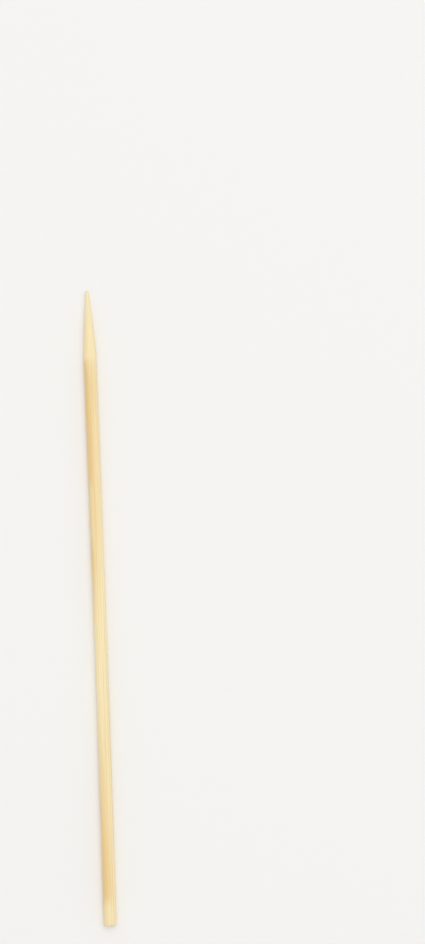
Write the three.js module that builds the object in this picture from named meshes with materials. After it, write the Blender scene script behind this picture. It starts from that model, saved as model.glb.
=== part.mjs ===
import * as THREE from 'three';

// A bamboo skewer, made as one piece: a strip split from the wall of the culm is drawn through
// a round die, sawn to length and ground to a point. The stick lies along Y with its point
// towards +Y, its flattest side underneath and the skin side of the bamboo towards -X.
// Sizes are in millimetres.

// The drawn stick
const LENGTH = 150;          // from the tip to the low edge of the butt
const DIAMETER = 3;          // bore of the die
const BOW = 0.14;            // how far the middle stands out from a straight line, towards +X

// The ground point
const POINT_LENGTH = 14.5;   // from the tip to the shoulder
const POINT_BELLY = 0.04;    // how far its side swells out from a straight cone
const TIP_DIAMETER = 0.64;   // blunt end of the point
const TIP_DOME = 0.15;       // height of the low dome worn onto that end
const TIP_OFFSET = 0.1;      // the tip is ground off the stick's axis by this much, towards -X

// The split face underneath, where the strip was a little thinner than the bore
const REST_FLAT_DEPTH = 0.12;

// The skin side, which the die only skims between the butt and the point
const SKIN_FLAT_DEPTH = 0.12;
const SKIN_FLAT_FROM_BUTT = 12;   // from the butt to where the flat begins
const SKIN_FLAT_RUN_IN = 10;      // from there to its full depth
const SKIN_FLAT_FROM_TIP = 20;    // from the tip to where the flat has died out
const SKIN_FLAT_RUN_OUT = 60;     // from its full depth to there

// The sawn butt
const SAW_RISE = 0.35;       // out of square by this much across the diameter
const BUTT_EASE = 0.12;      // radius worn onto the sawn edge by tumbling

// Fineness of the surface
const SIDES = 48;            // faces round the stick
const RING_STEP = 4;         // between rings along the shank
const POINT_RINGS = 10;      // along the ground side of the point
const ROUND_RINGS = 4;       // over the eased edge and over the blunt tip

const RADIUS = DIAMETER / 2;
const TIP_RADIUS = TIP_DIAMETER / 2;

// Half of the outline, from the middle of the butt to the tip: sawn face, eased edge, shank,
// bellied point and blunt tip
function outline() {
  const middle = new THREE.Vector2(0, 0);
  const shankStart = new THREE.Vector2(RADIUS, BUTT_EASE);
  const shoulder = new THREE.Vector2(RADIUS, LENGTH - POINT_LENGTH);
  const tipStart = new THREE.Vector2(TIP_RADIUS, LENGTH - TIP_DOME);
  const swell = new THREE.Vector2(tipStart.y - shoulder.y, shoulder.x - tipStart.x);
  swell.setLength(2 * POINT_BELLY);
  const pull = shoulder.clone().lerp(tipStart, 0.5).add(swell);

  const edge = new THREE.EllipseCurve(
    RADIUS - BUTT_EASE, BUTT_EASE, BUTT_EASE, BUTT_EASE, -Math.PI / 2, 0,
  );
  const shank = new THREE.LineCurve(shankStart, shoulder);
  const point = new THREE.QuadraticBezierCurve(shoulder, pull, tipStart);
  const tip = new THREE.EllipseCurve(
    0, tipStart.y, TIP_RADIUS, TIP_DOME, 0, Math.PI / 2,
  );
  const shankRings = Math.ceil((shoulder.y - shankStart.y) / RING_STEP);
  const points = [middle, ...edge.getPoints(ROUND_RINGS)];
  points.push(...shank.getPoints(shankRings).slice(1));
  points.push(...point.getPoints(POINT_RINGS).slice(1));
  points.push(...tip.getPoints(ROUND_RINGS).slice(1));
  points[points.length - 1].x = 0;
  return points;
}

// The butt is cut out of square, so its rings are lifted more towards +X
function sawButt(vertex) {
  if (vertex.y < RING_STEP / 2) {
    vertex.y += (vertex.x + RADIUS - BUTT_EASE) * SAW_RISE / DIAMETER;
  }
}

// Depth of the skin flat at a distance along the stick from the butt
function skinFlatDepth(along) {
  const fromButt = (along - SKIN_FLAT_FROM_BUTT) / SKIN_FLAT_RUN_IN;
  const fromTip = (LENGTH - SKIN_FLAT_FROM_TIP - along) / SKIN_FLAT_RUN_OUT;
  const reach = THREE.MathUtils.smoothstep(Math.min(fromButt, fromTip), 0, 1);
  return SKIN_FLAT_DEPTH * reach;
}

// Stop a vertex at a flat that lies this far from the axis on the side of outward
function planeFlat(vertex, outward, distance) {
  const reach = vertex.x * outward.x + vertex.z * outward.z;
  if (reach > distance) {
    vertex.x *= distance / reach;
    vertex.z *= distance / reach;
  }
}

// Push a vertex sideways by the bow of the stick, and on the point by the offset of the tip too
function bend(vertex) {
  const fromMiddle = (2 * vertex.y - LENGTH) / LENGTH;
  const upPoint = Math.max(0, (vertex.y - LENGTH + POINT_LENGTH) / POINT_LENGTH);
  vertex.x += BOW * (1 - fromMiddle * fromMiddle) - TIP_OFFSET * upPoint;
}

function skewerShape() {
  const shape = new THREE.LatheGeometry(outline(), SIDES);
  const underneath = new THREE.Vector3(0, 0, -1);
  const skinSide = new THREE.Vector3(-1, 0, 0);
  const place = shape.getAttribute('position');
  const vertex = new THREE.Vector3();
  for (let i = 0; i < place.count; i += 1) {
    vertex.fromBufferAttribute(place, i);
    sawButt(vertex);
    planeFlat(vertex, underneath, RADIUS - REST_FLAT_DEPTH);
    planeFlat(vertex, skinSide, RADIUS - skinFlatDepth(vertex.y));
    bend(vertex);
    place.setXYZ(i, vertex.x, vertex.y, vertex.z);
  }

  // The origin is under the middle of the stick, on the surface that it lies on
  shape.computeBoundingBox();
  const { min, max } = shape.boundingBox;
  shape.translate(-(min.x + max.x) / 2, -(min.y + max.y) / 2, -min.z);
  shape.computeVertexNormals();
  return shape;
}

const bamboo = new THREE.MeshStandardMaterial({
  color: 0xf0dca6,
  roughness: 0.62,
  metalness: 0,
});

const skewer = new THREE.Mesh(skewerShape(), bamboo);
skewer.name = 'skewer';

const group = new THREE.Group();
group.add(skewer);

export default group;
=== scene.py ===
import math

import bmesh
import bpy
from mathutils import Euler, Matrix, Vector, noise


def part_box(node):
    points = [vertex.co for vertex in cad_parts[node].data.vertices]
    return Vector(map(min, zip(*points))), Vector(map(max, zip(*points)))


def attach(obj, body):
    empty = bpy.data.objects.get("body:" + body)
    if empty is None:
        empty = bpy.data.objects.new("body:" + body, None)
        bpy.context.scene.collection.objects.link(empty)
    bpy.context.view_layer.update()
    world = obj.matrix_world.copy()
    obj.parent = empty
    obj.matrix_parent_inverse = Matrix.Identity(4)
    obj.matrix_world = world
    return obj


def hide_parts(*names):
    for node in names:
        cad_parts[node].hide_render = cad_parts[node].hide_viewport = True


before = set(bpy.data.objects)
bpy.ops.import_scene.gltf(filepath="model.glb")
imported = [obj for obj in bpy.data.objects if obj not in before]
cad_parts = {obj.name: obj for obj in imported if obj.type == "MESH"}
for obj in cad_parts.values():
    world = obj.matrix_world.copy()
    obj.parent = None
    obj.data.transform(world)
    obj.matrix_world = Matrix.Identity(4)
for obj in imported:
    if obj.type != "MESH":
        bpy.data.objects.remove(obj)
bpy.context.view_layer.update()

# Skewer
# One strip of bamboo, split from the wall of the culm, drawn through a round die, sawn to length
# and ground to a point on a belt. The skin side of the bamboo faces -X. Sizes are in millimetres,
# and the stick is first made straight, along Y from the middle of its butt.
MM = 0.001
low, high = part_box("skewer")
LENGTH = (high.y - low.y) / MM
RADIUS = 1.5                  # half of the die's bore
BOW = 0.14                    # rise of the middle towards +X
REST_FLAT = 0.12              # depth of the split face underneath
SKIN_FLAT = 0.12              # depth of the skin side, where the die only skims it
SKIN_FLAT_ENDS = (12, 130)    # where the skin flat begins and has died out, from the butt
SKIN_FLAT_RUNS = (10, 60)     # how long it takes to reach its full depth from either end
SIDES = 240                   # faces round the stick
SHANK_RINGS = 132

# The sawn butt, out of square and with its edge eased by tumbling
SAW_RISE = 0.35
BUTT_EASE = 0.12
FACE_RINGS = 30
EASE_RINGS = 3

# The point, ground a little off the stick's axis
POINT_LENGTH = 14.5
POINT_BELLY = 0.04
TIP_RADIUS = 0.32
TIP_DOME = 0.15
TIP_OFFSET = 0.1
SHOULDER_OFFSET = -0.06       # there the grinding is off the other way
RUN_OUT = 2.5                 # how far behind the shoulder the belt still touches here and there
RUN_OUT_RINGS = 12
POINT_RINGS = 60
NOSE_RINGS = 6


def smooth_between(low_end, high_end, value):
    """0 before low_end, 1 past high_end and a smooth ramp between. The ramp can run backwards."""
    share = min(max((value - low_end) / (high_end - low_end), 0), 1)
    return share * share * (3 - 2 * share)


def spun_blank():
    """The smooth turned form: half an outline, spun round the Y axis."""
    bm = bmesh.new()
    shoulder = LENGTH - POINT_LENGTH
    corners = (
        (0, 0),
        (RADIUS - BUTT_EASE, 0),
        (RADIUS, BUTT_EASE),
        (RADIUS, shoulder - RUN_OUT),
        (RADIUS, shoulder),
        (TIP_RADIUS, LENGTH - TIP_DOME),
        (0, LENGTH),
    )
    chain = [bm.verts.new((x, y, 0)) for x, y in corners]
    edges = [bm.edges.new(pair) for pair in zip(chain, chain[1:])]
    rings = (FACE_RINGS, EASE_RINGS, SHANK_RINGS, RUN_OUT_RINGS, POINT_RINGS, NOSE_RINGS)
    for edge, cuts in zip(edges, rings):
        bmesh.ops.subdivide_edges(bm, edges=[edge], cuts=cuts)
    for vert in bm.verts:
        x, y, _ = vert.co
        if x > RADIUS - BUTT_EASE and y < BUTT_EASE:
            edge_middle = Vector((RADIUS - BUTT_EASE, BUTT_EASE, 0))
            vert.co = edge_middle + (vert.co - edge_middle).normalized() * BUTT_EASE
        elif y > LENGTH - TIP_DOME:
            out, up = x / TIP_RADIUS, (y - LENGTH + TIP_DOME) / TIP_DOME
            dome = Vector((out, up, 0)).normalized()
            vert.co = (TIP_RADIUS * dome.x, LENGTH - TIP_DOME + TIP_DOME * dome.y, 0)
    bmesh.ops.spin(
        bm, geom=bm.verts[:] + bm.edges[:], cent=(0, 0, 0), axis=(0, 1, 0),
        angle=math.tau, steps=SIDES, use_merge=True,
    )
    bmesh.ops.remove_doubles(bm, verts=bm.verts, dist=0.001)
    bmesh.ops.recalc_face_normals(bm, faces=bm.faces)
    return bm


# Bundles of strong dark fibres lie in rows in the soft pale tissue, crowded towards the skin
SKIN_ROW = 0.34               # between rows at the skin side
INNER_ROW = 0.62              # between rows at the inner side
FIRST_ROW = 0.3               # from the first row, which was planed off, to the skin side
BUNDLE_REACH = 0.29           # radius of a bundle, as a share of the gap between rows
BUNDLE_CORE = 0.6             # how much of that radius is dark right through
BUNDLE_DEEP = 0.8             # under 1, a bundle is longer through the wall than across it
BUNDLE_SIZES = (0.75, 1.25)   # smallest and largest, as a share of the usual one
BUNDLE_STRAY = 0.35           # how far one can be off its place in the row
ROW_SWAY = (0.25, 0.3)        # how far rows wander along the stick, through the wall and across
ROW_BENDS = (0.02, 0.016)     # how often they do, to a mm


def bundle_at(place):
    """1 in the heart of a bundle of dark fibres, 0 in the soft tissue between them."""
    widening = (INNER_ROW - SKIN_ROW) / (2 * RADIUS)
    inward = ROW_SWAY[0] * noise.noise(Vector((0, place.y * ROW_BENDS[0], 5)))
    sideways = ROW_SWAY[1] * noise.noise(Vector((9, place.y * ROW_BENDS[1], 0)))
    depth = place.x + RADIUS + FIRST_ROW + inward
    row = math.log(1 + depth * widening / SKIN_ROW) / widening
    nearest = 1
    for near_row in (math.floor(row), math.floor(row) + 1):
        gap = SKIN_ROW * math.exp(near_row * widening)
        row_depth = (gap - SKIN_ROW) / widening
        column = (place.z + sideways) / gap + 0.5 * (near_row % 2)
        for near_column in (math.floor(column), math.floor(column) + 1):
            chance = noise.cell_vector(Vector((near_row + 0.5, near_column + 0.5, 0.5)))
            across = column - near_column + BUNDLE_STRAY * (chance.x - 0.5)
            deep = (depth - row_depth) / gap + BUNDLE_STRAY * (chance.y - 0.5)
            size = BUNDLE_SIZES[0] + (BUNDLE_SIZES[1] - BUNDLE_SIZES[0]) * chance.z
            nearest = min(nearest, math.hypot(across, BUNDLE_DEEP * deep) / size)
    return 1 - smooth_between(BUNDLE_CORE * BUNDLE_REACH, BUNDLE_REACH, nearest)


# The grooves that the die leaves
BAND_GROOVE = 0.016           # depth between bands of fibres
BAND_WIDTH = 0.43
BAND_BENDS = 0.02             # how often a groove comes and goes, to a mm along the stick
FIBRE_GROOVE = 0.006          # depth between single fibres
FIBRE_WIDTH = 0.16
FIBRE_BENDS = 0.06


def skin_flat(along):
    """Depth of the flat on the skin side, at a distance from the butt."""
    from_butt = smooth_between(0, SKIN_FLAT_RUNS[0], along - SKIN_FLAT_ENDS[0])
    from_tip = smooth_between(0, SKIN_FLAT_RUNS[1], SKIN_FLAT_ENDS[1] - along)
    return SKIN_FLAT * min(from_butt, from_tip)


def drawn_radius(turn, along):
    """From the axis to the surface that the die leaves. turn is 0 at +X and a quarter at +Z."""
    reach = RADIUS
    under, skin = -math.sin(turn), -math.cos(turn)
    if under > 0:
        reach = min(reach, (RADIUS - REST_FLAT) / under)
    if skin > 0:
        reach = min(reach, (RADIUS - skin_flat(along)) / skin)
    out = Vector((math.cos(turn), 0, math.sin(turn))) * reach
    band = noise.noise(out / BAND_WIDTH + Vector((0, along * BAND_BENDS, 0)))
    fibre = noise.noise(out / FIBRE_WIDTH + Vector((0, along * FIBRE_BENDS, 0)))
    return reach - BAND_GROOVE * (0.5 - 0.5 * band) - FIBRE_GROOVE * (0.5 - 0.5 * fibre)


# The point is ground a facet at a time
FACETS = 9
FACET_SHARE = 0.35            # 1 would be flat facets, 0 a smooth cone
FACET_WANDER = 0.5            # how far an edge between facets strays, in radians
FACET_BENDS = (3, 0.08)       # how soon it does, round the stick and to a mm along it


def ground_radius(turn, along):
    """From the axis to the surface that the belt leaves, beyond the drawn one on the shank."""
    share = (LENGTH - along) / POINT_LENGTH
    cone = TIP_RADIUS + (RADIUS - TIP_RADIUS) * share + 4 * POINT_BELLY * share * (1 - share)
    step = math.tau / FACETS
    way_round = Vector((math.cos(turn), 0, math.sin(turn))) * FACET_BENDS[0]
    wander = FACET_WANDER * noise.noise(way_round + Vector((0, along * FACET_BENDS[1], 0)))
    across = (turn + wander) % step - step / 2
    cone *= 1 - FACET_SHARE * (1 - math.cos(step / 2) / math.cos(across))
    offset = SHOULDER_OFFSET + (TIP_OFFSET - SHOULDER_OFFSET) * (1 - share)
    return math.sqrt(cone ** 2 - (offset * math.sin(turn)) ** 2) - offset * math.cos(turn)


# Where the bamboo is tan, from the butt. Half-way along and at both ends the stick is paler.
TAN_BY_POINT = (62, 104)      # begins, and is full
TAN_BY_BUTT = (60, 12)
POINT_PALER = (126, 136)
BUTT_PALER = (8, 4)
POINT_LOSS = 0.5              # share of the tan that is lost there
BUTT_LOSS = 0.75
PATCH_NEAR = (86, 93)         # a paler patch on the skin side begins, and is full
PATCH_FAR = (108, 102)        # the same from its other end
PATCH_ACROSS = (-0.1, -0.8)   # and across the stick, towards the skin
PATCH_LOSS = 0.5              # share of the tan that is lost there
TAN_MIDDLE = 0.74             # tan at the axis, where the tan is full
TAN_SLOPE = 0.42              # more than that for every mm towards the skin
TAN_LEAST = 0.05
TAN_DRIFT = 0.2               # more or less than that from place to place
TAN_BENDS = (1.1, 0.03)       # how often it changes, to a mm across the fibres and along them


def skin_tan(place):
    """How tan the bamboo is: most towards the skin, and right across near point and butt."""
    near_point = smooth_between(*TAN_BY_POINT, place.y)
    near_point *= 1 - POINT_LOSS * smooth_between(*POINT_PALER, place.y)
    patch = smooth_between(*PATCH_NEAR, place.y) * smooth_between(*PATCH_FAR, place.y)
    near_point *= 1 - PATCH_LOSS * patch * smooth_between(*PATCH_ACROSS, place.x)
    near_butt = smooth_between(*TAN_BY_BUTT, place.y)
    near_butt *= 1 - BUTT_LOSS * smooth_between(*BUTT_PALER, place.y)
    across, along = TAN_BENDS
    drift = TAN_DRIFT * noise.noise(place * Vector((across, along, across)))
    tan = max(near_point, near_butt) * (TAN_MIDDLE - TAN_SLOPE * place.x)
    return min(max(tan + TAN_LEAST + drift, 0), 1)


# The last brushing leaves the shank pale for a little way behind the shoulder
BRUSHED_FULL = 0.6            # as pale as the point up to here
BRUSHED_GONE = 3.2            # and not at all from here on
BRUSHED_SLANT = 0.6           # further on the +X side, for every mm across
BRUSHED_STREAK = 0.7          # and more or less so from one streak to the next
BRUSHED_BENDS = (2.5, 0.1)    # how often, to a mm across the fibres and along them


def brushed(place):
    """1 where the shank is brushed as pale as the point, fading away from the shoulder."""
    behind = LENGTH - POINT_LENGTH - place.y
    across, along = BRUSHED_BENDS
    streak = noise.noise(place * Vector((across, along, across)))
    gone = BRUSHED_GONE + BRUSHED_SLANT * place.x + BRUSHED_STREAK * streak
    full = BRUSHED_FULL - BRUSHED_SLANT * place.x + BRUSHED_STREAK * streak
    return 1 - smooth_between(full, gone, behind)


# The sawn face, and where the belt has cut
RIM_TEAR = 0.03               # how far fibres are torn back at the sawn rim
RIM_SHARE = 0.8               # of the radius, from where on the rim is torn
RIM_BENDS = 3                 # how often it is, to a mm
SAW_MARK = 0.006
SAW_PITCH = 0.17
BUNDLE_PIT = 0.02             # depth of a bundle's open vessels in the sawn face
GROUND_EDGE = (-0.006, 0.03)  # depth cut by the belt at which the surface turns to ground


def dress(bm):
    """Gives the blank its real surface, and notes on every vertex what the bamboo is there."""
    hair = BUTT_EASE / 20     # keeps a ring that lies on a limit on the right side of it
    straight = bm.verts.layers.float_vector.new("straight")
    tan, bundle, ground, sawn = (
        bm.verts.layers.float.new(name) for name in ("tan", "bundle", "ground", "sawn")
    )
    for vert in bm.verts:
        x, along, z = vert.co
        reach, turn = math.hypot(x, z), math.atan2(z, x)
        if along > LENGTH - TIP_DOME + hair:
            x -= TIP_OFFSET
            vert[ground] = 1
        elif along > hair:
            drawn = drawn_radius(turn, along)
            belt = drawn + 1
            if along > LENGTH - POINT_LENGTH - RUN_OUT:
                belt = ground_radius(turn, along)
            cut = smooth_between(*GROUND_EDGE, drawn - belt)
            vert[ground] = max(cut, brushed(Vector((x, along, z))))
            reach = min(drawn, belt) - (RADIUS - reach if along < BUTT_EASE else 0)
            x, z = reach * math.cos(turn), reach * math.sin(turn)
        place = Vector((x, along, z))
        vert[straight] = place
        vert[tan] = skin_tan(place)
        vert[bundle] = bundle_at(place)
        if along < BUTT_EASE + hair:
            vert[sawn] = 1 - smooth_between(0, BUTT_EASE, along)
            stroke = 0.5 + 0.5 * math.sin(math.tau * z / SAW_PITCH)
            torn = abs(noise.noise(place * RIM_BENDS))
            torn *= smooth_between(RIM_SHARE * RADIUS, RADIUS, reach)
            along += vert[sawn] * (SAW_MARK * stroke + BUNDLE_PIT * vert[bundle])
            along += RIM_TEAR * torn + SAW_RISE * (x + RADIUS - BUTT_EASE) / (2 * RADIUS)
        bow = BOW * (1 - (2 * along / LENGTH - 1) ** 2)
        vert.co = Vector((x + bow, along, z))


blank = spun_blank()
dress(blank)
butt_middle = Vector((high.x / MM - RADIUS - BOW, low.y / MM, high.z / MM - RADIUS))
bmesh.ops.translate(blank, verts=blank.verts, vec=butt_middle)
bmesh.ops.scale(blank, verts=blank.verts, vec=(MM, MM, MM))
for face in blank.faces:
    face.smooth = True
stick_mesh = bpy.data.meshes.new("bamboo_stick")
blank.to_mesh(stick_mesh)
blank.free()
stick = bpy.data.objects.new("bamboo_stick", stick_mesh)
bpy.context.scene.collection.objects.link(stick)

# Raw bamboo, neither oiled nor varnished. It is straw yellow with darker bundles of fibres along
# it, tanner towards the skin and paler where the belt has just cut it, with a dull satin gloss.
PALE_STRAW = "#FCEDC0"
SKIN_TAN = "#EDCC8D"
FRESH_CUT = "#FAE9BE"
FIBRE_HONEY = "#DDB87C"
FIBRE_LIGHT = "#FBEFCB"
PORE_BROWN = "#A9783F"
SAWN_FACE = "#E9CF9C"
BUNDLE_END = "#B78D55"
BAMBOO_IOR = 1.5
BAMBOO_SPECULAR = 0.35        # under the usual 0.5, as the open fibres swallow some of the gloss
SATIN = (0.5, 0.64)           # roughness from the smoothest fibres to the dullest
CUT_DULLER = 0.15             # added to that where the belt or the saw has cut
BAND_LENGTH = 60
FIBRE_LENGTH = 18
PORE_SIZE = (0.09, 2.2)       # width and length
SCRATCH_SIZE = (0.7, 0.12)    # the belt's scratches run round the point
BUMP_HEIGHT = 0.02
BUMP_STRENGTH = 0.6


def linear(hex_colour):
    """An sRGB hex colour as the linear values that Blender's sockets take."""
    channels = [int(hex_colour[i:i + 2], 16) / 255 for i in (1, 3, 5)]
    return [c / 12.92 if c <= 0.04045 else ((c + 0.055) / 1.055) ** 2.4 for c in channels] + [1]


def add(tree, kind, settings, inputs):
    """Adds a node with its settings; an input is a value or the socket that feeds it."""
    made = tree.nodes.new(kind)
    for name, value in settings.items():
        setattr(made, name, value)
    for name, value in inputs.items():
        if isinstance(value, bpy.types.NodeSocket):
            tree.links.new(value, made.inputs[name])
        else:
            made.inputs[name].default_value = value
    return made


def fibre_pattern(tree, straight, width, length):
    """Noise in streaks of about this width and length in millimetres, along the fibres."""
    spread = add(tree, "ShaderNodeMapping", {}, {
        "Vector": straight, "Scale": (1 / width, 1 / length, 1 / width)})
    streaks = add(tree, "ShaderNodeTexNoise", {}, {
        "Vector": spread.outputs[0], "Scale": 1, "Detail": 3, "Roughness": 0.6})
    return streaks.outputs[0]


def raw_bamboo():
    material = bpy.data.materials.new("raw_bamboo")
    material.use_nodes = True
    tree = material.node_tree
    shader = tree.nodes["Principled BSDF"]
    shader.inputs["IOR"].default_value = BAMBOO_IOR
    shader.inputs["Specular IOR Level"].default_value = BAMBOO_SPECULAR

    place = add(tree, "ShaderNodeAttribute", {"attribute_name": "straight"}, {})
    straight = place.outputs["Vector"]
    tan, bundle, ground, sawn = (
        add(tree, "ShaderNodeAttribute", {"attribute_name": name}, {}).outputs["Fac"]
        for name in ("tan", "bundle", "ground", "sawn")
    )
    bands = fibre_pattern(tree, straight, BAND_WIDTH, BAND_LENGTH)
    fibres = fibre_pattern(tree, straight, FIBRE_WIDTH, FIBRE_LENGTH)
    pores = fibre_pattern(tree, straight, *PORE_SIZE)
    scratches = fibre_pattern(tree, straight, *SCRATCH_SIZE)
    bundle_end = add(tree, "ShaderNodeMath", {"operation": "MULTIPLY"}, {0: bundle, 1: sawn})

    # From the palest up: what marks a coat, where it begins and is full, its strength, its colour
    coats = (
        (tan, 0, 1, 1, SKIN_TAN),
        (bands, 0.5, 0.75, 0.35, FIBRE_HONEY),
        (bands, 0.5, 0.25, 0.4, FIBRE_LIGHT),
        (fibres, 0.5, 0.8, 0.45, FIBRE_HONEY),
        (bundle, 0, 1, 0.2, FIBRE_HONEY),
        (ground, 0, 1, 0.6, FRESH_CUT),
        (sawn, 0, 1, 0.8, SAWN_FACE),
        (pores, 0.66, 0.74, 0.35, PORE_BROWN),
        (bundle_end.outputs[0], 0, 1, 0.75, BUNDLE_END),
    )
    colour = linear(PALE_STRAW)
    for pattern, start, full, strength, coat in coats:
        share = add(tree, "ShaderNodeMapRange", {}, {
            "Value": pattern, "From Min": start, "From Max": full, "To Max": strength})
        # Sockets 6 and 7 are the node's two colours, and output 2 its blend
        blend = add(tree, "ShaderNodeMix", {"data_type": "RGBA"}, {
            0: share.outputs[0], 6: colour, 7: linear(coat)})
        colour = blend.outputs[2]
    tree.links.new(colour, shader.inputs["Base Color"])

    satin = add(tree, "ShaderNodeMapRange", {}, {
        "Value": fibres, "From Min": 0.3, "From Max": 0.7, "To Min": SATIN[0], "To Max": SATIN[1]})
    cut = add(tree, "ShaderNodeMath", {"operation": "MAXIMUM"}, {0: ground, 1: sawn})
    rough = add(tree, "ShaderNodeMath", {"operation": "MULTIPLY_ADD"}, {
        0: cut.outputs[0], 1: CUT_DULLER, 2: satin.outputs[0]})
    tree.links.new(rough.outputs[0], shader.inputs["Roughness"])

    # Sockets 2 and 3 are the two numbers that the node blends
    height = add(tree, "ShaderNodeMix", {}, {0: ground, 2: fibres, 3: scratches})
    bump = add(tree, "ShaderNodeBump", {}, {
        "Height": height.outputs[0], "Strength": BUMP_STRENGTH, "Distance": BUMP_HEIGHT * MM})
    tree.links.new(bump.outputs[0], shader.inputs["Normal"])
    return material


stick_mesh.materials.append(raw_bamboo())
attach(stick, "root")
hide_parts("skewer")

# Floor
# Plain white board, painted matt, that the stick lies on with its split side down. It is far
# wider than the picture.
FLOOR_WHITE = "#F3F2F0"
FLOOR_ROUGHNESS = 0.8
FLOOR_WIDTH = 6
bpy.ops.mesh.primitive_plane_add(size=FLOOR_WIDTH, location=(0, 0, 0))
floor = bpy.context.object
floor.name = "floor"
board = bpy.data.materials.new("white_board")
board.use_nodes = True
paint = board.node_tree.nodes["Principled BSDF"]
paint.inputs["Base Color"].default_value = linear(FLOOR_WHITE)
paint.inputs["Roughness"].default_value = FLOOR_ROUGHNESS
floor.data.materials.append(board)

# Light
# An even white room and one large soft lamp overhead, a little to the right. Together they light
# the floor so that its colour renders as it is written.
ROOM_WHITE = "#FFFFFF"
ROOM_LIGHT = 0.71
ROOM_SEEN = 0.9               # how white the room looks behind the floor
LAMP_POWER = 8.2
LAMP_WIDTH = 1.2
LAMP_PLACE = Vector((0.2, 0.3, 1.45))
world = bpy.data.worlds.new("white_room")
world.use_nodes = True
room = world.node_tree
ray = add(room, "ShaderNodeLightPath", {}, {})
seen = add(room, "ShaderNodeMath", {"operation": "MAXIMUM"}, {
    0: ray.outputs["Is Camera Ray"], 1: ray.outputs["Is Glossy Ray"]})
strength = add(room, "ShaderNodeMapRange", {}, {
    "Value": seen.outputs[0], "To Min": ROOM_LIGHT, "To Max": ROOM_SEEN})
room.nodes["Background"].inputs["Color"].default_value = linear(ROOM_WHITE)
room.links.new(strength.outputs[0], room.nodes["Background"].inputs["Strength"])
bpy.context.scene.world = world

softbox = bpy.data.lights.new("softbox", "AREA")
softbox.shape = "SQUARE"
softbox.size = LAMP_WIDTH
softbox.energy = LAMP_POWER
lamp = bpy.data.objects.new("softbox", softbox)
lamp.location = LAMP_PLACE
lamp.rotation_euler = LAMP_PLACE.to_track_quat("Z", "Y").to_euler()
bpy.context.scene.collection.objects.link(lamp)

# Camera
# It looks straight down. Its place, lean and lens are worked out so that the tip and the butt of
# the stick fall on these pixels of the picture.
PICTURE = Vector((425, 944))
TIP_PIXEL = Vector((86.9, 290.8))
BUTT_PIXEL = Vector((110.4, 925.2))
CAMERA_HEIGHT = 1             # above the axis of the stick
SENSOR = 36
tip_end = Vector((butt_middle.x - TIP_OFFSET, high.y / MM, butt_middle.z)) * MM
butt_end = Vector((butt_middle.x, low.y / MM + SAW_RISE / 2, butt_middle.z)) * MM
stick_line = tip_end - butt_end
stick_pixels = BUTT_PIXEL - TIP_PIXEL
pixel = stick_line.length / stick_pixels.length
lean = math.atan2(-stick_line.x, stick_line.y) - math.atan2(stick_pixels.x, stick_pixels.y)
off_centre = PICTURE / 2 - (TIP_PIXEL + BUTT_PIXEL) / 2
place = Vector((off_centre.x, -off_centre.y, 0)) * pixel
place.rotate(Euler((0, 0, lean)))
place += (tip_end + butt_end) / 2 + Vector((0, 0, CAMERA_HEIGHT))
view = bpy.data.cameras.new("camera")
view.sensor_width = SENSOR
view.lens = SENSOR * CAMERA_HEIGHT / (PICTURE.y * pixel)
camera = bpy.data.objects.new("camera", view)
camera.location = place
camera.rotation_euler = (0, 0, lean)
bpy.context.scene.collection.objects.link(camera)
bpy.context.scene.camera = camera
bpy.context.scene.view_settings.view_transform = "Standard"
